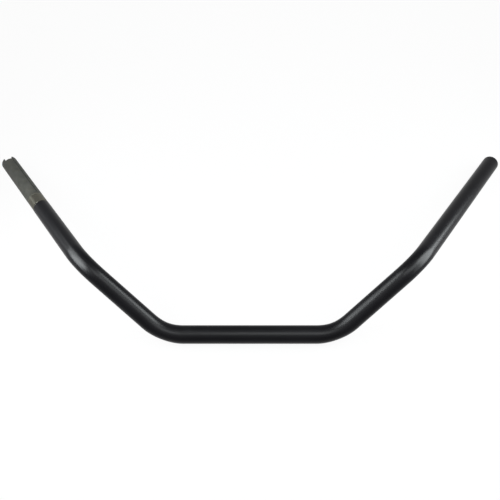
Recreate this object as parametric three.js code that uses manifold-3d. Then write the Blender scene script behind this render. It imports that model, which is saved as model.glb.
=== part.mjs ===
// A pulled-back motorcycle handlebar for an electronic throttle.
//
// One steel tube, bent four times, makes the clamp section, both legs and both grips. On the throttle side
// the tube ends early and a bare, turned steel end carries on the grip: its spigot fills the tube's bore, its
// own bore takes the throttle sensor, a notch in its rim keys the sensor, and a fine slot runs along its wall.
//
// Millimetres, +Z up. The origin is the middle of the clamp section, on its axis. +X points along that section
// to the clutch side (the rider's left), +Y back to the rider. The bar stands at the angle it takes when it is
// laid on a flat table, on the clamp section and the two grip ends, which is close to how risers hold it.

import * as THREE from "three";
import { mergeVertices } from "three/addons/utils/BufferGeometryUtils.js";
import Module from "manifold-3d";

// The tube.
const TUBE_DIAMETER = 25.4;
const TUBE_WALL = 3.05;
const COAT_THICKNESS = 0.1;

// The corners of the centreline, before the bends round them off.
const CLAMP_WIDTH = 238; // between the corners of the two inner bends
const SHOULDER_WIDTH = 454; // between the corners of the two outer bends
const SHOULDER_SETBACK = 61;
const SHOULDER_RISE = 82;
const END_WIDTH = 807; // between the centres of the two end faces
const PULLBACK = 346;

// The bends, on the centreline.
const INNER_BEND_RADIUS = 70;
const OUTER_BEND_RADIUS = 58;

// The bare end on the throttle side.
const BARE_DIAMETER = 25.2;
const BARE_LENGTH = 174;
const SENSOR_BORE_DIAMETER = 20.6;
const SENSOR_BORE_DEPTH = 152;
const SPIGOT_LENGTH = 38;
const SPIGOT_BORE_DIAMETER = 14;
const SPIGOT_LEAD_IN = 1;
const NOTCH_WIDTH = 11.5;
const NOTCH_DEPTH = 8;
const NOTCH_CORNER_RADIUS = 1;
const NOTCH_ANGLE = THREE.MathUtils.degToRad(1); // from the top of the grip, about its axis
const SLOT_WIDTH = 1;
const SLOT_LENGTH = 143;
const SLOT_ANGLE = THREE.MathUtils.degToRad(29);
const RIM_CHAMFER = 0.6;

// Where one piece seats on another.
const SEAT_GAP = 0.3;

// How finely the round shapes are cut.
const TUBE_SIDES = 32;
const LATHE_SIDES = 48;
const BEND_STEPS = 12;

const outerRadius = TUBE_DIAMETER / 2 + COAT_THICKNESS;
const boreRadius = TUBE_DIAMETER / 2 - TUBE_WALL;
const bareRadius = BARE_DIAMETER / 2;
const sensorBoreRadius = SENSOR_BORE_DIAMETER / 2;
const CUT_CLEARANCE = 2; // how far a cutter runs past the surface it cuts

const wasm = await Module();
wasm.setup();

/** A closed geometry as a manifold-3d solid. */
function solidOf(geometry) {
  const bare = geometry.clone();
  bare.deleteAttribute("normal");
  bare.deleteAttribute("uv");
  const merged = mergeVertices(bare);
  return new wasm.Manifold(
    new wasm.Mesh({
      numProp: 3,
      vertProperties: merged.attributes.position.array,
      triVerts: new Uint32Array(merged.index.array),
    }),
  );
}

/** A manifold-3d solid as a flat-shaded three.js geometry. */
function geometryOf(solid) {
  const mesh = solid.getMesh();
  const indexed = new THREE.BufferGeometry();
  indexed.setAttribute("position", new THREE.BufferAttribute(mesh.vertProperties, 3));
  indexed.setIndex(new THREE.BufferAttribute(mesh.triVerts, 1));
  const flat = indexed.toNonIndexed();
  flat.computeVertexNormals();
  return flat;
}

/** Three corners of the centreline on one side: side is 1 for the clutch side and -1 for the throttle side. */
function corners(side) {
  const inner = new THREE.Vector3((side * CLAMP_WIDTH) / 2, 0, 0);
  const outer = new THREE.Vector3((side * SHOULDER_WIDTH) / 2, SHOULDER_SETBACK, SHOULDER_RISE);
  const end = new THREE.Vector3((side * END_WIDTH) / 2, PULLBACK, 0);
  // The end face's lower edge rests level with the underside of the clamp section.
  const run = Math.hypot(end.x - outer.x, end.y - outer.y);
  const droop = Math.atan2(SHOULDER_RISE, run);
  end.z = bareRadius * Math.cos(droop) - outerRadius;
  return { inner, outer, end };
}

/** The arc that rounds off a corner between two straights: its stations, each a point and a tangent. */
function bendStations(before, corner, after, radius) {
  const incoming = corner.clone().sub(before).normalize();
  const outgoing = after.clone().sub(corner).normalize();
  const turn = incoming.angleTo(outgoing);
  const setback = radius * Math.tan(turn / 2);
  const start = corner.clone().addScaledVector(incoming, -setback);
  const inward = outgoing.clone().addScaledVector(incoming, -outgoing.dot(incoming)).normalize();
  const stations = [];
  for (let step = 0; step <= BEND_STEPS; step += 1) {
    const angle = (turn * step) / BEND_STEPS;
    const point = start
      .clone()
      .addScaledVector(incoming, radius * Math.sin(angle))
      .addScaledVector(inward, radius * (1 - Math.cos(angle)));
    const tangent = incoming
      .clone()
      .multiplyScalar(Math.cos(angle))
      .addScaledVector(inward, Math.sin(angle));
    stations.push({ point, tangent });
  }
  return stations;
}

/** A station at the end of a straight. */
function endStation(point, from, to) {
  return { point, tangent: to.clone().sub(from).normalize() };
}

/** A centreline through given stations, one step of the sweep to each, so straights take a single step. */
class StationCurve extends THREE.Curve {
  constructor(stations) {
    super();
    this.stations = stations;
    this.steps = stations.length - 1;
  }

  getPoint(t, target = new THREE.Vector3()) {
    return target.copy(this.stations[Math.round(t * this.steps)].point);
  }

  getPointAt(u, target) {
    return this.getPoint(u, target);
  }

  getTangentAt(u, target = new THREE.Vector3()) {
    return target.copy(this.stations[Math.round(u * this.steps)].tangent);
  }
}

/** A slot open at the end face: it runs past the face and down to depth, where its corners are rounded. */
function openEndedSlot(width, depth, radius) {
  const half = width / 2;
  const outline = new THREE.Shape();
  outline.moveTo(half, CUT_CLEARANCE);
  outline.lineTo(-half, CUT_CLEARANCE);
  outline.lineTo(-half, -depth + radius);
  outline.absarc(-half + radius, -depth + radius, radius, Math.PI, 1.5 * Math.PI, false);
  outline.lineTo(half - radius, -depth);
  outline.absarc(half - radius, -depth + radius, radius, 1.5 * Math.PI, 2 * Math.PI, false);
  outline.lineTo(half, CUT_CLEARANCE);
  return outline;
}

/** A cutter for an opening in one wall of the bare end: its outline runs across and along the grip. */
function wallCutter(outline, angle) {
  const cutter = new THREE.ExtrudeGeometry(outline, {
    depth: bareRadius + CUT_CLEARANCE,
    bevelEnabled: false,
    curveSegments: 6,
  });
  cutter.rotateY(angle);
  return solidOf(cutter);
}

/** A frame at an end face's centre: Y out along the grip, Z up across it. */
function endFrame({ outer, end }) {
  const out = end.clone().sub(outer).normalize();
  const up = new THREE.Vector3(0, 0, 1).projectOnPlane(out).normalize();
  const across = out.clone().cross(up);
  return new THREE.Matrix4().makeBasis(across, out, up).setPosition(end);
}

const throttleSide = corners(-1);
const clutchSide = corners(1);

/** The bent tube, from the joint with the bare end round to the clutch-side end face. */
function makeBarTube() {
  const grip = throttleSide.outer.clone().sub(throttleSide.end).normalize();
  const joint = throttleSide.end.clone().addScaledVector(grip, BARE_LENGTH + SEAT_GAP);
  const centreline = new StationCurve([
    endStation(joint, throttleSide.end, throttleSide.outer),
    ...bendStations(joint, throttleSide.outer, throttleSide.inner, OUTER_BEND_RADIUS),
    ...bendStations(throttleSide.outer, throttleSide.inner, clutchSide.inner, INNER_BEND_RADIUS),
    ...bendStations(throttleSide.inner, clutchSide.inner, clutchSide.outer, INNER_BEND_RADIUS),
    ...bendStations(clutchSide.inner, clutchSide.outer, clutchSide.end, OUTER_BEND_RADIUS),
    endStation(clutchSide.end, clutchSide.outer, clutchSide.end),
  ]);
  const section = new THREE.Shape();
  section.absarc(0, 0, outerRadius, 0, 2 * Math.PI, false);
  const bore = new THREE.Path();
  bore.absarc(0, 0, boreRadius, 0, 2 * Math.PI, true);
  section.holes.push(bore);
  const tube = new THREE.ExtrudeGeometry(section, {
    steps: centreline.steps,
    extrudePath: centreline,
    curveSegments: TUBE_SIDES / 2,
  });
  // A ring with a triangular section takes the sharp edge off the clutch-side rim.
  const rimCutter = new THREE.LatheGeometry(
    [
      new THREE.Vector2(outerRadius - RIM_CHAMFER - CUT_CLEARANCE, CUT_CLEARANCE),
      new THREE.Vector2(outerRadius + CUT_CLEARANCE, -RIM_CHAMFER - CUT_CLEARANCE),
      new THREE.Vector2(outerRadius + CUT_CLEARANCE, CUT_CLEARANCE),
      new THREE.Vector2(outerRadius - RIM_CHAMFER - CUT_CLEARANCE, CUT_CLEARANCE),
    ],
    LATHE_SIDES,
  );
  rimCutter.applyMatrix4(endFrame(clutchSide));
  const material = new THREE.MeshStandardMaterial({ color: 0x1d1d1f, roughness: 0.42, metalness: 0 });
  const mesh = new THREE.Mesh(geometryOf(solidOf(tube).subtract(solidOf(rimCutter))), material);
  mesh.name = "bar_tube";
  return mesh;
}

/** The bare steel end, turned about Y with its tip at the origin, then notched and slotted. */
function makeThrottleEnd() {
  const shoulder = -BARE_LENGTH;
  const spigotRadius = boreRadius - SEAT_GAP;
  const spigotTip = shoulder - SPIGOT_LENGTH;
  const spigotBoreRadius = SPIGOT_BORE_DIAMETER / 2;
  const profile = [
    [spigotBoreRadius, spigotTip],
    [spigotRadius - SPIGOT_LEAD_IN, spigotTip],
    [spigotRadius, spigotTip + SPIGOT_LEAD_IN],
    [spigotRadius, shoulder],
    [bareRadius, shoulder],
    [bareRadius, -RIM_CHAMFER],
    [bareRadius - RIM_CHAMFER, 0],
    [sensorBoreRadius, 0],
    [sensorBoreRadius, -SENSOR_BORE_DEPTH],
    [spigotBoreRadius, -SENSOR_BORE_DEPTH],
    [spigotBoreRadius, spigotTip],
  ];
  const turned = new THREE.LatheGeometry(
    profile.map(([radius, along]) => new THREE.Vector2(radius, along)),
    LATHE_SIDES,
  );
  const notch = openEndedSlot(NOTCH_WIDTH, NOTCH_DEPTH, NOTCH_CORNER_RADIUS);
  const slot = openEndedSlot(SLOT_WIDTH, SLOT_LENGTH, SLOT_WIDTH / 2);
  const solid = solidOf(turned)
    .subtract(wallCutter(notch, NOTCH_ANGLE))
    .subtract(wallCutter(slot, SLOT_ANGLE));
  const material = new THREE.MeshStandardMaterial({ color: 0x595952, roughness: 0.5, metalness: 0.85 });
  const mesh = new THREE.Mesh(geometryOf(solid), material);
  mesh.name = "throttle_end";
  mesh.applyMatrix4(endFrame(throttleSide));
  return mesh;
}

const handlebar = new THREE.Group();
handlebar.add(makeBarTube(), makeThrottleEnd());

export default handlebar;
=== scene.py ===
"""The looks of a pulled-back motorcycle handlebar for an electronic throttle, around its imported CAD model.

Metres, in the CAD model's frame: the origin is the middle of the clamp section on its axis, +X the clutch
side, +Y back to the rider and +Z up. The bar lies on the floor, on its clamp section and both grip ends.
"""

import math

import bmesh
import bpy
from mathutils import Matrix, Vector
from mathutils.geometry import delaunay_2d_cdt


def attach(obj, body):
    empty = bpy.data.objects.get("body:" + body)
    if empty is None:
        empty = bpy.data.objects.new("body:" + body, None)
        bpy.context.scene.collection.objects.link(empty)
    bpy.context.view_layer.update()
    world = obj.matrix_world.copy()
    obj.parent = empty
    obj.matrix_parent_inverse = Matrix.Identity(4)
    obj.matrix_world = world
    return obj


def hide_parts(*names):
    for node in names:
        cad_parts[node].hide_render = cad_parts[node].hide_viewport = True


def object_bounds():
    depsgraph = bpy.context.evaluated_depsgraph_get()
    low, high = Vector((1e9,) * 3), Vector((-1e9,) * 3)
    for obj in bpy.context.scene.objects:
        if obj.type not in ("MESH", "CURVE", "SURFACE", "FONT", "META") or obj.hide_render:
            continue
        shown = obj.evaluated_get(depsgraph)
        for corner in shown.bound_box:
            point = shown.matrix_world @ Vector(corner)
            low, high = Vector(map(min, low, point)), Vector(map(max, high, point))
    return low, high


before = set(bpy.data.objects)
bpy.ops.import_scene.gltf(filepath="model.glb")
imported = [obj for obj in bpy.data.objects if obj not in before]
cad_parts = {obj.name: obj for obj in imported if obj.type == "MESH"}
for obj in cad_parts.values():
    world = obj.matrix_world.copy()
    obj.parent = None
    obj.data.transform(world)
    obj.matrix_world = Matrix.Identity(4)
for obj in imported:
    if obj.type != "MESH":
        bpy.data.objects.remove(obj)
cad_low, cad_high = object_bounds()

MM = 0.001

# The centreline's corners and bends, as the CAD model has them.
CLAMP_WIDTH = 238 * MM
SHOULDER_WIDTH = 454 * MM
SHOULDER_SETBACK = 61 * MM
SHOULDER_RISE = 82 * MM
END_WIDTH = 807 * MM
PULLBACK = 346 * MM
INNER_BEND_RADIUS = 70 * MM
OUTER_BEND_RADIUS = 58 * MM

# The coated tube. Its wall is pressed a little flat in the bends.
COATED_RADIUS = 12.8 * MM
TUBE_BORE_RADIUS = 9.65 * MM
INNER_BEND_FLATTENING = 0.045
OUTER_BEND_FLATTENING = 0.02
RIM_ROUND = 0.6 * MM
BORE_RIM_ROUND = 0.35 * MM
COAT_EDGE_ROUND = 0.06 * MM
COAT_IN_BORE = 14 * MM
JOINT_GAP = 0.05 * MM

# The bare end, along the grip from its tip.
BARE_RADIUS = 12.6 * MM
BARE_LENGTH = 174 * MM
SENSOR_BORE_RADIUS = 10.3 * MM
SENSOR_BORE_DEPTH = 152 * MM
SPIGOT_RADIUS = 9.35 * MM
SPIGOT_LENGTH = 38 * MM
SPIGOT_BORE_RADIUS = 7 * MM
SPIGOT_LEAD_IN = 1 * MM
SPIGOT_EDGE = 0.15 * MM
NOTCH_WIDTH = 11.5 * MM
NOTCH_DEPTH = 8 * MM
NOTCH_CORNER_RADIUS = 1 * MM
NOTCH_ANGLE = math.radians(1)
SLOT_WIDTH = 1 * MM
SLOT_LENGTH = 143 * MM
SLOT_ANGLE = math.radians(29)
EDGE_ROUND = 0.2 * MM
CORNER_ROUND = 0.6 * MM

# The two finishes of the bare end: matte from the tip, and smooth next to the coat.
MATTE_LENGTH = 144 * MM
SMOOTH_FADE_IN = (MATTE_LENGTH - 3 * MM, MATTE_LENGTH + 5 * MM)
# Painted shade: the bare end's colour is darkened over its first few millimetres from the tip.
TIP_SHADE_FADE_OUT = (1 * MM, 6 * MM)

# Spans that materials stretch: where most of a noise texture's values lie, and a share from none to all.
NOISE_SPAN = (0.3, 0.7)
SHARE = (0, 1)

# The studio.
LIGHT_COLOUR = (0.94, 0.985, 1.0)
TO_CLUTCH_SIDE = (1, 0, 0)
TO_THROTTLE_SIDE = (-1, 0, 0)
DOWN = (0, 0, -1)
WORLD_TILT = math.radians(22)
WORLD_LEVELS = [1.3, 0.68, 0.36, 0.17, 0.13, 0.29, 0.5]
FLOOR_RADIUS = 4
FLOOR_COLOUR = (0.05, 0.05, 0.05, 1)
FLOOR_GLOW_COLOUR = (1, 1, 1, 1)
FLOOR_GLOW = 0.93
COVE_RADIUS = 2
COVE_STEPS = 12
BACKDROP_HEIGHT = 6
BACKDROP_SIDES = 96

# The camera. The lens is in millimetres, as Blender has it.
CAMERA_LENS = 54.0
CAMERA_SENSOR = 36.0
CAMERA_PLACE = (0, -0.586, 0.8591)
CAMERA_ELEVATION = math.radians(49.27)

# How finely the meshes are made.
TUBE_SIDES = 96
STRAIGHT_STEP = 6 * MM
BEND_STEP = math.radians(2)
ROUND_STEPS = 4
SUPPORT = 0.12 * MM
FINE_STEP = 0.8 * MM
COARSE_STEP = 4 * MM
GRID_CLEARANCE = 0.35 * MM
NOTCH_MARGIN = 4 * MM
SLOT_END_MARGIN = 5 * MM
PLAIN_WALL_START = SLOT_LENGTH + 2 * MM
PLAIN_WALL_FULL = BARE_LENGTH - 10 * MM
TRIANGLES_INSIDE_ONLY = 1
TRIANGULATION_MARGIN = 1e-7
WELD_DISTANCE = 0.002 * MM


# The tube's centreline.


def corners(side):
    """The corners on one side, from the clamp section out: 1 is the clutch side and -1 the throttle side."""
    inner = Vector((side * CLAMP_WIDTH / 2, 0, 0))
    outer = Vector((side * SHOULDER_WIDTH / 2, SHOULDER_SETBACK, SHOULDER_RISE))
    end = Vector((side * END_WIDTH / 2, PULLBACK, 0))
    droop = math.atan2(SHOULDER_RISE, (end - outer).xy.length)
    end.z = BARE_RADIUS * math.cos(droop) - COATED_RADIUS
    return inner, outer, end


def end_frame(side):
    """A matrix with its origin in the middle of an end face, Y out along the grip and Z up across it."""
    _, outer, end = corners(side)
    out = (end - outer).normalized()
    up = Vector((0, 0, 1)) - out * out.z
    up.normalize()
    across = out.cross(up)
    matrix = Matrix((across, out, up)).transposed().to_4x4()
    matrix.translation = end
    return matrix


class Station:
    """A place on the centreline. The section there is pressed by a share of its width along one direction."""

    def __init__(self, point, tangent, pressed_along=Vector((0, 0, 1)), pressing=0.0):
        self.point = point
        self.tangent = tangent
        self.pressed_along = pressed_along
        self.pressing = pressing


def bend(before, corner, after, radius, flattening):
    """Stations round the arc that joins two straights."""
    incoming = (corner - before).normalized()
    outgoing = (after - corner).normalized()
    turn = incoming.angle(outgoing)
    start = corner - incoming * radius * math.tan(turn / 2)
    inward = (outgoing - incoming * outgoing.dot(incoming)).normalized()
    steps = math.ceil(turn / BEND_STEP)
    stations = []
    for step in range(steps + 1):
        share = step / steps
        angle = turn * share
        point = start + incoming * radius * math.sin(angle) + inward * radius * (1 - math.cos(angle))
        tangent = incoming * math.cos(angle) + inward * math.sin(angle)
        to_centre = inward * math.cos(angle) - incoming * math.sin(angle)
        pressing = flattening * math.sin(math.pi * share) ** 2
        stations.append(Station(point, tangent, to_centre, pressing))
    return stations


def straight(start, end):
    """Stations between two points, leaving both points out."""
    run = end - start
    steps = math.ceil(run.length / STRAIGHT_STEP)
    tangent = run.normalized()
    return [Station(start + run * step / steps, tangent) for step in range(1, steps)]


def centreline():
    """Stations from the tube's joint with the bare end round to the middle of the clutch-side end face."""
    throttle_inner, throttle_outer, throttle_end = corners(-1)
    clutch_inner, clutch_outer, clutch_end = corners(1)
    grip = (throttle_outer - throttle_end).normalized()
    joint = throttle_end + grip * (BARE_LENGTH + JOINT_GAP)
    bends = [
        bend(joint, throttle_outer, throttle_inner, OUTER_BEND_RADIUS, OUTER_BEND_FLATTENING),
        bend(throttle_outer, throttle_inner, clutch_inner, INNER_BEND_RADIUS, INNER_BEND_FLATTENING),
        bend(throttle_inner, clutch_inner, clutch_outer, INNER_BEND_RADIUS, INNER_BEND_FLATTENING),
        bend(clutch_inner, clutch_outer, clutch_end, OUTER_BEND_RADIUS, OUTER_BEND_FLATTENING),
    ]
    stations = [Station(joint, grip)]
    for arc in bends:
        stations += straight(stations[-1].point, arc[0].point) + arc
    stations += straight(stations[-1].point, clutch_end)
    stations.append(Station(clutch_end, stations[-1].tangent))
    return stations


# Meshes.


def rounded_edge(skin_radius, round_radius):
    """Points from a skin round the edge onto an end face, as (distance inside the face, radius).

    A bore's edge takes a negative round radius. Both flats get a support point beside the round.
    """
    depth = abs(round_radius)
    points = [(depth + SUPPORT, skin_radius)]
    for step in range(ROUND_STEPS + 1):
        angle = math.pi / 2 * step / ROUND_STEPS
        inside = depth * (1 - math.sin(angle))
        points.append((inside, skin_radius - round_radius * (1 - math.cos(angle))))
    points.append((0, skin_radius - round_radius - math.copysign(SUPPORT, round_radius)))
    return points


def new_piece(name, mesh, materials, slot, *nodes):
    """A smooth-shaded piece of the object that stands for CAD nodes."""
    bmesh.ops.recalc_face_normals(mesh, faces=mesh.faces)
    for face in mesh.faces:
        face.smooth = True
    data = bpy.data.meshes.new(name)
    mesh.to_mesh(data)
    mesh.free()
    for material in materials:
        data.materials.append(material)
    piece = bpy.data.objects.new(name, data)
    bpy.context.scene.collection.objects.link(piece)
    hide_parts(*nodes)
    return piece


def transported_frames(stations):
    """Two directions across the tube at each station, carried along without twist."""
    across = stations[0].tangent.orthogonal().normalized()
    previous = stations[0].tangent
    frames = []
    for station in stations:
        across = previous.rotation_difference(station.tangent) @ across
        previous = station.tangent
        frames.append((across, station.tangent.cross(across)))
    return frames


def add_ring(mesh, station, directions, radius, inside=0.0):
    """A ring of vertices round a station, moved back from it by a distance along the tangent."""
    across, up = directions
    ring = []
    for side in range(TUBE_SIDES):
        angle = 2 * math.pi * side / TUBE_SIDES
        offset = (across * math.cos(angle) + up * math.sin(angle)) * radius
        offset -= station.pressed_along * offset.dot(station.pressed_along) * station.pressing
        ring.append(mesh.verts.new(station.point + offset - station.tangent * inside))
    return ring


def bridge(mesh, ring, following, material_index=0):
    """A band of faces between two rings."""
    for side in range(len(ring)):
        after = (side + 1) % len(ring)
        face = mesh.faces.new((ring[side], ring[after], following[after], following[side]))
        face.material_index = material_index


def make_tube(coat, bore_steel):
    """The bent tube with its outer skin, its rims and its bore, closed all round."""
    mesh = bmesh.new()
    stations = centreline()
    directions = transported_frames(stations)
    joint_rim = rounded_edge(COATED_RADIUS, COAT_EDGE_ROUND)
    clutch_rim = rounded_edge(COATED_RADIUS, RIM_ROUND)
    clutch_bore_rim = rounded_edge(TUBE_BORE_RADIUS, -BORE_RIM_ROUND)
    rings = []
    for inside, radius in reversed(joint_rim):
        rings.append(add_ring(mesh, stations[0], directions[0], radius, -inside))
    for station, pair in zip(stations[1:-1], directions[1:-1]):
        rings.append(add_ring(mesh, station, pair, COATED_RADIUS))
    for inside, radius in clutch_rim + clutch_bore_rim[::-1]:
        rings.append(add_ring(mesh, stations[-1], directions[-1], radius, inside))
    coat_end = len(rings) + round(COAT_IN_BORE / STRAIGHT_STEP)
    for station, pair in zip(stations[-2::-1], directions[-2::-1]):
        rings.append(add_ring(mesh, station, pair, TUBE_BORE_RADIUS))
    for index, ring in enumerate(rings):
        is_raw = coat_end <= index < len(rings) - 1
        bridge(mesh, ring, rings[(index + 1) % len(rings)], int(is_raw))
    return new_piece("handlebar_tube", mesh, [coat, bore_steel], "black_coat", "bar_tube")


class EdgePoint:
    """A place on the outline of the bare end's wall, unrolled: across it and along from the tip.

    Where the wall ends at an opening or at the rim, `outward` points off the metal. Elsewhere it is None.
    """

    def __init__(self, across, along, outward=None):
        self.place = Vector((across, along))
        self.outward = outward

    def inset(self, distance):
        """The place moved onto the metal by a distance."""
        return self.place - self.outward * distance if self.outward else self.place


def edge_line(start, end, step, outward=None):
    """Points along a straight stretch of the outline, with both of its ends."""
    run = Vector(end) - Vector(start)
    steps = max(1, math.ceil(run.length / step))
    places = [Vector(start) + run * index / steps for index in range(steps + 1)]
    return [EdgePoint(place.x, place.y, outward) for place in places]


def edge_arc(centre, radius, first, last, hollow):
    """Points round a corner of the outline; a hollow corner has its centre off the metal."""
    points = []
    for index in range(2 * ROUND_STEPS + 1):
        angle = first + (last - first) * index / (2 * ROUND_STEPS)
        spoke = Vector((math.cos(angle), math.sin(angle)))
        place = Vector(centre) + spoke * radius
        points.append(EdgePoint(place.x, place.y, -spoke if hollow else spoke))
    return points


def along_rows():
    """Distances from the tip that the bare end's mesh has rows at: fine by the notch and the slot's end."""
    rows = []
    along = FINE_STEP
    while along < BARE_LENGTH - FINE_STEP:
        rows.append(along)
        by_notch = along < NOTCH_DEPTH + NOTCH_MARGIN
        by_slot_end = SLOT_LENGTH - SLOT_END_MARGIN < along < SLOT_LENGTH + SLOT_END_MARGIN
        along += FINE_STEP if by_notch or by_slot_end else COARSE_STEP
    return rows


def sleeve_outline():
    """The outline of the bare end's wall, unrolled at its outer radius and cut down the slot's middle.

    The slot's middle is at 0 across and at a full turn across. The notch lies beside the far side.
    """
    turn = 2 * math.pi * BARE_RADIUS
    step = turn / TUBE_SIDES
    quarter = math.pi / 2
    off_low, off_high, off_tip = Vector((-1, 0)), Vector((1, 0)), Vector((0, -1))
    far_end = BARE_LENGTH - COAT_EDGE_ROUND
    wall = BARE_RADIUS * math.asin(SLOT_WIDTH / 2 / BARE_RADIUS)
    far_wall = turn - wall
    slot_end = SLOT_LENGTH - wall
    notch_half_angle = math.asin(NOTCH_WIDTH / 2 / BARE_RADIUS)
    notch_side = turn + BARE_RADIUS * (NOTCH_ANGLE - notch_half_angle - SLOT_ANGLE)
    notch_corner = (notch_side + NOTCH_CORNER_RADIUS, NOTCH_DEPTH - NOTCH_CORNER_RADIUS)
    rim_start, rim_end = wall + CORNER_ROUND, notch_side - CORNER_ROUND
    notch_start, notch_end = notch_side + NOTCH_CORNER_RADIUS, far_wall - CORNER_ROUND
    far_wall_start = NOTCH_DEPTH + CORNER_ROUND
    stretches = [
        edge_line((0, far_end), (0, SLOT_LENGTH), COARSE_STEP)[:-1],
        edge_arc((0, slot_end), wall, quarter, 0, True),
        edge_line((wall, slot_end), (wall, CORNER_ROUND), COARSE_STEP, off_low)[1:-1],
        edge_arc((rim_start, CORNER_ROUND), CORNER_ROUND, 2 * quarter, 3 * quarter, False),
        edge_line((rim_start, 0), (rim_end, 0), step, off_tip)[1:-1],
        edge_arc((rim_end, CORNER_ROUND), CORNER_ROUND, -quarter, 0, False),
        edge_line((notch_side, CORNER_ROUND), (notch_side, notch_corner[1]), FINE_STEP, off_high)[1:-1],
        edge_arc(notch_corner, NOTCH_CORNER_RADIUS, 2 * quarter, quarter, True),
        edge_line((notch_start, NOTCH_DEPTH), (notch_end, NOTCH_DEPTH), step, off_tip)[1:-1],
        edge_arc((notch_end, far_wall_start), CORNER_ROUND, -quarter, 0, False),
        edge_line((far_wall, far_wall_start), (far_wall, slot_end), COARSE_STEP, off_high)[1:-1],
        edge_arc((turn, slot_end), wall, 2 * quarter, quarter, True),
        edge_line((turn, SLOT_LENGTH), (turn, far_end), COARSE_STEP)[1:],
        edge_line((turn, far_end), (0, far_end), step)[1:-1],
    ]
    return [point for stretch in stretches for point in stretch]


def distance_to_outline(place, outline):
    """How far a place is from the nearest outline segment."""
    nearest = math.inf
    for index, corner in enumerate(outline):
        start = outline[index - 1]
        run = corner - start
        share = min(1, max(0, (place - start).dot(run) / run.length_squared))
        nearest = min(nearest, (start + run * share - place).length)
    return nearest


def inside_outline(place, outline):
    """Whether a place is inside the outline, by the crossings of a line across it."""
    crossings = 0
    for index, corner in enumerate(outline):
        start = outline[index - 1]
        if (start.y > place.y) != (corner.y > place.y):
            share = (place.y - start.y) / (corner.y - start.y)
            crossings += place.x < start.x + (corner.x - start.x) * share
    return crossings % 2 == 1


def grid_places(outline):
    """The mesh's places inside the outline, in columns and rows, clear of its edge."""
    step = 2 * math.pi * BARE_RADIUS / TUBE_SIDES
    places = []
    for column in range(1, TUBE_SIDES):
        for along in along_rows():
            place = Vector((column * step, along))
            if inside_outline(place, outline) and distance_to_outline(place, outline) > GRID_CLEARANCE:
                places.append(place)
    return places


def smoothstep(low, high, value):
    """A smooth rise from 0 at `low` to 1 at `high`."""
    share = min(1, max(0, (value - low) / (high - low)))
    return share * share * (3 - 2 * share)


def interpolate(value, knots):
    """Straight-line interpolation through (from, to) pairs in rising order."""
    for (low, low_to), (high, high_to) in zip(knots, knots[1:]):
        if value <= high:
            return low_to + (high_to - low_to) * (value - low) / (high - low)
    return knots[-1][1]


def bore_angle(angle):
    """The angle at the sensor bore of a place on the outer skin, so that the cut walls are parallel."""
    full = 2 * math.pi
    slot_skin = math.asin(SLOT_WIDTH / 2 / BARE_RADIUS)
    slot_bore = math.asin(SLOT_WIDTH / 2 / SENSOR_BORE_RADIUS)
    notch_skin = NOTCH_ANGLE - math.asin(NOTCH_WIDTH / 2 / BARE_RADIUS) - SLOT_ANGLE
    notch_bore = NOTCH_ANGLE - math.asin(NOTCH_WIDTH / 2 / SENSOR_BORE_RADIUS) - SLOT_ANGLE
    knots = [
        (0, 0),
        (slot_skin, slot_bore),
        (math.pi / 2, math.pi / 2),
        (1.5 * math.pi, 1.5 * math.pi),
        (full + notch_skin, full + notch_bore),
        (full - slot_skin, full - slot_bore),
        (full, full),
    ]
    return interpolate(angle, knots)


def on_sleeve(place, radius):
    """A point of the bare end from its unrolled place and its radius. Y runs out along the grip."""
    angle = place.x / BARE_RADIUS
    depth = (BARE_RADIUS - radius) / (BARE_RADIUS - SENSOR_BORE_RADIUS)
    slotted = 1 - smoothstep(PLAIN_WALL_START, PLAIN_WALL_FULL, place.y)
    angle += (bore_angle(angle) - angle) * depth * slotted
    bore_end = SENSOR_BORE_DEPTH - SUPPORT
    knots = [(0, 0), (PLAIN_WALL_START, PLAIN_WALL_START), (BARE_LENGTH - COAT_EDGE_ROUND, bore_end)]
    along = place.y + (interpolate(place.y, knots) - place.y) * depth
    phi = SLOT_ANGLE + angle
    return Vector((radius * math.sin(phi), -along, radius * math.cos(phi)))


def edge_profile():
    """From the outer skin over a cut edge to the bore, as (inset from the edge, radius)."""
    outer = rounded_edge(BARE_RADIUS, EDGE_ROUND)[1:]
    inner = rounded_edge(SENSOR_BORE_RADIUS, -EDGE_ROUND)[1:]
    return outer + inner[::-1]


def spigot_profile():
    """From the shoulder over the spigot and back up its bore to the sensor bore, as (along, radius)."""
    tip = BARE_LENGTH + SPIGOT_LENGTH
    lead_in = SPIGOT_LEAD_IN
    edge = SPIGOT_EDGE
    return [
        (BARE_LENGTH, BARE_RADIUS - COAT_EDGE_ROUND),
        (BARE_LENGTH, SPIGOT_RADIUS + edge),
        (BARE_LENGTH, SPIGOT_RADIUS),
        (BARE_LENGTH + edge, SPIGOT_RADIUS),
        (tip - lead_in - edge, SPIGOT_RADIUS),
        (tip - lead_in, SPIGOT_RADIUS),
        (tip - edge, SPIGOT_RADIUS - lead_in + edge),
        (tip, SPIGOT_RADIUS - lead_in - edge),
        (tip, SPIGOT_BORE_RADIUS + 2 * edge),
        (tip - edge, SPIGOT_BORE_RADIUS + edge / 2),
        (tip - 2 * edge, SPIGOT_BORE_RADIUS),
        (SENSOR_BORE_DEPTH + 2 * edge, SPIGOT_BORE_RADIUS),
        (SENSOR_BORE_DEPTH + edge / 2, SPIGOT_BORE_RADIUS + edge / 2),
        (SENSOR_BORE_DEPTH, SPIGOT_BORE_RADIUS + 2 * edge),
        (SENSOR_BORE_DEPTH, SENSOR_BORE_RADIUS - edge),
        (SENSOR_BORE_DEPTH, SENSOR_BORE_RADIUS),
    ]


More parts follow.
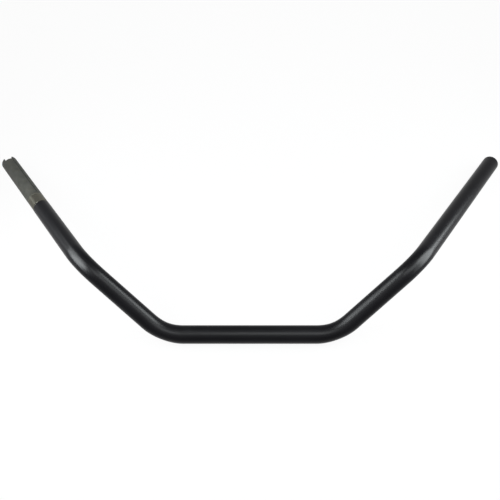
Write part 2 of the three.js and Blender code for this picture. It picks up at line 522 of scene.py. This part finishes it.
def make_sleeve(steel, bore):
    """The bare end: a notched and slotted wall round the sensor bore, and a spigot that fits the tube."""
    mesh = bmesh.new()
    outline = sleeve_outline()
    skin_outline = [point.inset(EDGE_ROUND + SUPPORT) for point in outline]
    places = skin_outline + grid_places(skin_outline)
    places, _, triangles, sources, *_ = delaunay_2d_cdt(
        places, [], [range(len(outline))], TRIANGLES_INSIDE_ONLY, TRIANGULATION_MARGIN
    )
    made_from = {source: index for index, group in enumerate(sources) for source in group}
    skins = []
    for material_index, radius in enumerate((BARE_RADIUS, SENSOR_BORE_RADIUS)):
        skin = [mesh.verts.new(on_sleeve(place, radius)) for place in places]
        for triangle in triangles:
            face = mesh.faces.new([skin[index] for index in triangle])
            face.material_index = material_index
        skins.append(skin)
    outer_edge = [skins[0][made_from[index]] for index in range(len(outline))]
    bore_edge = [skins[1][made_from[index]] for index in range(len(outline))]
    add_cut_edges(mesh, outline, outer_edge, bore_edge)
    shoulder = [index for index, point in enumerate(outline) if point.place.y > BARE_LENGTH - FINE_STEP]
    shoulder.sort(key=lambda index: outline[index].place.x)
    add_spigot(
        mesh,
        [outline[index].place for index in shoulder],
        [outer_edge[index] for index in shoulder],
        [bore_edge[index] for index in shoulder],
    )
    bmesh.ops.remove_doubles(mesh, verts=mesh.verts, dist=WELD_DISTANCE)
    mesh.transform(end_frame(-1))
    return new_piece("throttle_sleeve", mesh, [steel, bore], "bare_steel", "throttle_end")


def add_cut_edges(mesh, outline, outer_edge, bore_edge):
    """The rounded edges and the wall between the two skins, along the rim, the notch and the slot."""
    profile = edge_profile()
    columns = []
    for point, outer, bore in zip(outline, outer_edge, bore_edge):
        if point.outward is None:
            columns.append(None)
            continue
        between = [mesh.verts.new(on_sleeve(point.inset(inset), radius)) for inset, radius in profile]
        columns.append([outer, *between, bore])
    for index, column in enumerate(columns):
        before = columns[index - 1]
        if column is None or before is None:
            continue
        for low in range(len(column) - 1):
            mesh.faces.new((before[low], column[low], column[low + 1], before[low + 1]))


def add_spigot(mesh, places, outer_edge, bore_edge):
    """The shoulder, the spigot and its bore, between the ends of the two skins."""
    rings = [outer_edge]
    for along, radius in spigot_profile():
        ring = []
        for place in places:
            phi = SLOT_ANGLE + place.x / BARE_RADIUS
            ring.append(mesh.verts.new((radius * math.sin(phi), -along, radius * math.cos(phi))))
        rings.append(ring)
    rings.append(bore_edge)
    for ring, following in zip(rings, rings[1:]):
        for side in range(len(places) - 1):
            mesh.faces.new((ring[side], ring[side + 1], following[side + 1], following[side]))


# Materials.


class Shader:
    """A new node material with its Principled BSDF, and short ways to add nodes to it."""

    def __init__(self, name):
        self.material = bpy.data.materials.new(name)
        self.material.use_nodes = True
        self.tree = self.material.node_tree
        self.surface = self.tree.nodes["Principled BSDF"]
        coordinates = self.tree.nodes.new("ShaderNodeTexCoord")
        self.place = coordinates.outputs["Object"]

    def set(self, **values):
        """Numbers and colours that are the same all over the surface."""
        for name, value in values.items():
            self.surface.inputs[name.replace("_", " ")].default_value = value

    def link(self, output, name):
        """A node's output that sets one of the surface's inputs."""
        self.tree.links.new(output, self.surface.inputs[name])

    def noise(self, feature, detail=2.0, stretch=(1, 1, 1), place=None):
        """Noise whose features are about `feature` metres wide; `stretch` lengthens them along each axis."""
        mapping = self.tree.nodes.new("ShaderNodeMapping")
        mapping.inputs["Scale"].default_value = [1 / (feature * share) for share in stretch]
        self.tree.links.new(place or self.place, mapping.inputs["Vector"])
        texture = self.tree.nodes.new("ShaderNodeTexNoise")
        texture.inputs["Scale"].default_value = 1
        texture.inputs["Detail"].default_value = detail
        self.tree.links.new(mapping.outputs["Vector"], texture.inputs["Vector"])
        return texture.outputs["Fac"]

    def remap(self, value, source, target):
        """The value with one span stretched onto another, and held at that span's ends."""
        node = self.tree.nodes.new("ShaderNodeMapRange")
        node.clamp = True
        node.inputs["From Min"].default_value, node.inputs["From Max"].default_value = source
        node.inputs["To Min"].default_value, node.inputs["To Max"].default_value = target
        self.tree.links.new(value, node.inputs["Value"])
        return node.outputs["Result"]

    def mix(self, factor, first, second):
        """A blend of two colours, each a colour or a node's output."""
        node = self.tree.nodes.new("ShaderNodeMix")
        node.data_type = "RGBA"
        self.tree.links.new(factor, node.inputs["Factor"])
        for name, colour in (("A", first), ("B", second)):
            socket = next(s for s in node.inputs if s.name == name and s.type == "RGBA")
            if isinstance(colour, bpy.types.NodeSocket):
                self.tree.links.new(colour, socket)
            else:
                socket.default_value = (*colour, 1)
        return next(s for s in node.outputs if s.type == "RGBA")

    def placed_in(self, matrix):
        """Coordinates in another frame, from the object's own."""
        mapping = self.tree.nodes.new("ShaderNodeMapping")
        mapping.vector_type = "TEXTURE"
        mapping.inputs["Location"].default_value = matrix.translation
        mapping.inputs["Rotation"].default_value = matrix.to_euler()
        self.tree.links.new(self.place, mapping.inputs["Vector"])
        return mapping.outputs["Vector"]

    def axis(self, vector, name):
        """One component of a vector: X, Y or Z."""
        node = self.tree.nodes.new("ShaderNodeSeparateXYZ")
        self.tree.links.new(vector, node.inputs["Vector"])
        return node.outputs[name]

    def math(self, operation, first, second):
        """The result of an operation on two values, each a number or a node's output."""
        node = self.tree.nodes.new("ShaderNodeMath")
        node.operation = operation
        for socket, value in zip(node.inputs, (first, second)):
            if isinstance(value, bpy.types.NodeSocket):
                self.tree.links.new(value, socket)
            else:
                socket.default_value = value
        return node.outputs["Value"]

    def bump(self, height, distance, normal=None):
        """A bump of `distance` metres for a height of 1, on top of an earlier bump."""
        node = self.tree.nodes.new("ShaderNodeBump")
        node.inputs["Distance"].default_value = distance
        self.tree.links.new(height, node.inputs["Height"])
        if normal:
            self.tree.links.new(normal, node.inputs["Normal"])
        return node.outputs["Normal"]


def powder_coat():
    """Satin black powder coat: orange peel, a fine grain, and faint clouds of gloss and dust."""
    shader = Shader("black_powder_coat")
    clouds = shader.noise(feature=45 * MM, detail=3)
    specks = shader.noise(feature=0.9 * MM, detail=1)
    orange_peel = shader.noise(feature=1.6 * MM, detail=1.5)
    grain = shader.noise(feature=0.22 * MM, detail=2)
    dark = (0.0010, 0.0010, 0.0018)
    light = (0.0018, 0.0018, 0.0029)
    dust = (0.009, 0.009, 0.009)
    cloud_edge = (0.35, 0.65)
    speck_edge = (0.68, 0.75)
    speck_strength = (0, 0.6)
    roughness = (0.29, 0.34)
    colour = shader.mix(shader.remap(clouds, cloud_edge, SHARE), dark, light)
    colour = shader.mix(shader.remap(specks, speck_edge, speck_strength), colour, dust)
    shader.link(colour, "Base Color")
    shader.link(shader.remap(clouds, NOISE_SPAN, roughness), "Roughness")
    normal = shader.bump(orange_peel, distance=0.012 * MM)
    shader.link(shader.bump(grain, distance=0.0015 * MM, normal=normal), "Normal")
    shader.set(IOR=1.5)
    return shader.material


def bare_steel():
    """Steel that was left bare: a dull, blasted stretch from the tip, and a smoother one next to the coat.
    Its first few millimetres from the tip are darkened with painted shade.
    """
    shader = Shader("bare_steel")
    grip = shader.placed_in(end_frame(-1))
    patches = shader.noise(feature=11 * MM, detail=3, stretch=(1, 2, 1), place=grip)
    blotches = shader.noise(feature=3.5 * MM, detail=3, stretch=(1, 1.4, 1), place=grip)
    blasted = shader.noise(feature=0.35 * MM, detail=2, place=grip)
    tool_marks = shader.noise(feature=0.5 * MM, detail=2, stretch=(90, 1, 90), place=grip)
    along = shader.math("MULTIPLY", shader.axis(grip, "Y"), -1.0)
    ragged_edge = (-1 * MM, 1 * MM)
    ragged = shader.math("ADD", along, shader.remap(blotches, NOISE_SPAN, ragged_edge))
    smooth = shader.remap(ragged, SMOOTH_FADE_IN, SHARE)

    pale = (0.069, 0.069, 0.061)
    dull = (0.044, 0.046, 0.041)
    oily = (0.066, 0.060, 0.040)
    bright = (0.370, 0.360, 0.300)
    # Painted shade: a darker tone laid over the metal near the tip's rim.
    tip_shade = (0.030, 0.028, 0.027)
    blotch_edge = (0.5, 0.75)
    oil_strength = (0, 0.6)
    tip_shade_strength = (0.8, 0)
    brightening_power = 3.0
    brightness = shader.math("POWER", smooth, brightening_power)
    colour = shader.mix(shader.remap(patches, NOISE_SPAN, SHARE), pale, dull)
    colour = shader.mix(shader.remap(blotches, blotch_edge, oil_strength), colour, oily)
    colour = shader.mix(brightness, colour, bright)
    # Painted shade: darken the colour towards the tip.
    colour = shader.mix(shader.remap(ragged, TIP_SHADE_FADE_OUT, tip_shade_strength), colour, tip_shade)
    shader.link(colour, "Base Color")

    matte_to_smooth = (0.6, 0.24)
    roughness_drift = (-0.03, 0.03)
    roughness = shader.remap(smooth, SHARE, matte_to_smooth)
    drift = shader.remap(patches, NOISE_SPAN, roughness_drift)
    shader.link(shader.math("ADD", roughness, drift), "Roughness")

    blasting_strength = (1, 0.15)
    turning_strength = (0.3, 1)
    blasting = shader.math("MULTIPLY", blasted, shader.remap(smooth, SHARE, blasting_strength))
    turning = shader.math("MULTIPLY", tool_marks, shader.remap(smooth, SHARE, turning_strength))
    normal = shader.bump(blasting, distance=0.02 * MM)
    shader.link(shader.bump(turning, distance=0.008 * MM, normal=normal), "Normal")

    metallic = (0, 0.97)
    shader.link(shader.remap(smooth, SHARE, metallic), "Metallic")
    shader.set(Specular_Tint=(0.5, 0.5, 0.5, 1))
    return shader.material


def bore_steel():
    """The raw inside of the tube: dark mill scale with a little rust."""
    shader = Shader("raw_bore_steel")
    scale = shader.noise(feature=6 * MM, detail=4)
    grain = shader.noise(feature=0.5 * MM, detail=3)
    dark = (0.045, 0.043, 0.04)
    rusty = (0.085, 0.06, 0.042)
    rust_edge = (0.45, 0.7)
    roughness = (0.5, 0.75)
    shader.link(shader.mix(shader.remap(scale, rust_edge, SHARE), dark, rusty), "Base Color")
    shader.link(shader.remap(grain, NOISE_SPAN, roughness), "Roughness")
    shader.link(shader.bump(grain, distance=0.02 * MM), "Normal")
    shader.set(Metallic=0.7)
    return shader.material


# The studio.


def add_light(name, location, facing, size, radiance):
    """A soft box of one even radiance. It shows in gloss, but not to the camera."""
    width, height = size
    data = bpy.data.lights.new(name, "AREA")
    data.shape = "RECTANGLE"
    data.size = width
    data.size_y = height
    data.energy = radiance * math.pi * width * height
    data.color = LIGHT_COLOUR
    lamp = bpy.data.objects.new(name, data)
    lamp.location = location
    lamp.rotation_euler = Vector(facing).to_track_quat("-Z", "Y").to_euler()
    lamp.visible_camera = False
    bpy.context.scene.collection.objects.link(lamp)


def make_world(levels):
    """Dim light from all round, whose strengths are given at even steps of height, from below to above.

    The whole of it is tilted, so that it is brighter low behind the bar than low in front.
    """
    world = bpy.data.worlds.new("studio")
    world.use_nodes = True
    world.cycles.sampling_method = "NONE"
    nodes = world.node_tree.nodes
    links = world.node_tree.links
    direction = nodes.new("ShaderNodeTexCoord")
    height = nodes.new("ShaderNodeVectorMath")
    height.operation = "DOT_PRODUCT"
    height.inputs[1].default_value = (0, -math.sin(WORLD_TILT), math.cos(WORLD_TILT))
    rise = nodes.new("ShaderNodeMath")
    rise.operation = "ARCSINE"
    share = nodes.new("ShaderNodeMapRange")
    share.inputs["From Min"].default_value = -math.pi / 2
    share.inputs["From Max"].default_value = math.pi / 2
    ramp = nodes.new("ShaderNodeValToRGB")
    stops = ramp.color_ramp.elements
    last = len(levels) - 1
    for index in range(1, last):
        stops.new(index / last)
    for stop, level in zip(stops, levels):
        stop.color = (level, level, level, 1)
    links.new(direction.outputs["Generated"], height.inputs[0])
    links.new(height.outputs["Value"], rise.inputs[0])
    links.new(rise.outputs["Value"], share.inputs["Value"])
    links.new(share.outputs["Result"], ramp.inputs["Fac"])
    links.new(ramp.outputs["Color"], nodes["Background"].inputs["Color"])
    bpy.context.scene.world = world


def make_floor():
    """A pale light table that the bar lies on. It curves up far away, and stays out of the bar's gloss."""
    level = cad_low.z
    profile = []
    for step in range(COVE_STEPS + 1):
        angle = math.pi / 2 * step / COVE_STEPS
        radius = FLOOR_RADIUS + COVE_RADIUS * math.sin(angle)
        profile.append((radius, level + COVE_RADIUS * (1 - math.cos(angle))))
    profile.append((FLOOR_RADIUS + COVE_RADIUS, BACKDROP_HEIGHT))
    mesh = bmesh.new()
    rings = []
    for radius, height in profile:
        ring = []
        for side in range(BACKDROP_SIDES):
            angle = 2 * math.pi * side / BACKDROP_SIDES
            ring.append(mesh.verts.new((radius * math.cos(angle), radius * math.sin(angle), height)))
        rings.append(ring)
    mesh.faces.new(rings[0])
    for ring, following in zip(rings, rings[1:]):
        bridge(mesh, ring, following)
    data = bpy.data.meshes.new("floor")
    mesh.to_mesh(data)
    mesh.free()
    paint = bpy.data.materials.new("pale_floor")
    paint.use_nodes = True
    surface = paint.node_tree.nodes["Principled BSDF"]
    surface.inputs["Base Color"].default_value = FLOOR_COLOUR
    surface.inputs["Roughness"].default_value = 1
    surface.inputs["Specular IOR Level"].default_value = 0
    surface.inputs["Emission Color"].default_value = FLOOR_GLOW_COLOUR
    surface.inputs["Emission Strength"].default_value = FLOOR_GLOW
    data.materials.append(paint)
    floor = bpy.data.objects.new("floor", data)
    floor.visible_glossy = False
    bpy.context.scene.collection.objects.link(floor)


def make_camera():
    """The camera in front of the clamp section, looking down over the bar at the photograph's angle."""
    data = bpy.data.cameras.new("camera")
    data.lens = CAMERA_LENS
    data.sensor_width = CAMERA_SENSOR
    camera = bpy.data.objects.new("camera", data)
    camera.location = CAMERA_PLACE
    camera.rotation_euler = (math.pi / 2 - CAMERA_ELEVATION, 0, 0)
    bpy.context.scene.collection.objects.link(camera)
    bpy.context.scene.camera = camera


tube = make_tube(powder_coat(), bore_steel())
sleeve = make_sleeve(bare_steel(), bore_steel())
for piece in (tube, sleeve):
    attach(piece, "root")

make_floor()
make_camera()
make_world(WORLD_LEVELS)
add_light("throttle_side_soft_box", (-0.475, 0.06, 0.68), TO_CLUTCH_SIDE, size=(0.28, 1.1), radiance=4.1)
add_light("throttle_near_soft_box", (-0.475, 0.275, 0.41), TO_CLUTCH_SIDE, size=(0.15, 0.40), radiance=2.7)
add_light("throttle_low_card", (-0.5, -0.04, 0.30), TO_CLUTCH_SIDE, size=(0.26, 0.36), radiance=2.8)
add_light("throttle_front_soft_box", (-0.85, -0.41, 1.1), TO_CLUTCH_SIDE, size=(0.20, 1.0), radiance=9.6)
add_light("throttle_back_card", (-1.0, 0.6, 0.07), TO_CLUTCH_SIDE, size=(0.6, 0.16), radiance=0.42)
add_light("clutch_side_soft_box", (0.633, 0.122, 0.575), TO_THROTTLE_SIDE, size=(0.42, 1.0), radiance=4.3)
add_light("clutch_near_soft_box", (0.47, 0.04, 0.55), TO_THROTTLE_SIDE, size=(0.46, 0.92), radiance=0.9)
add_light("overhead_soft_box", (0.45, -0.64, 1.5), DOWN, size=(1.17, 0.78), radiance=1.5)
bpy.context.scene.view_settings.view_transform = "Standard"
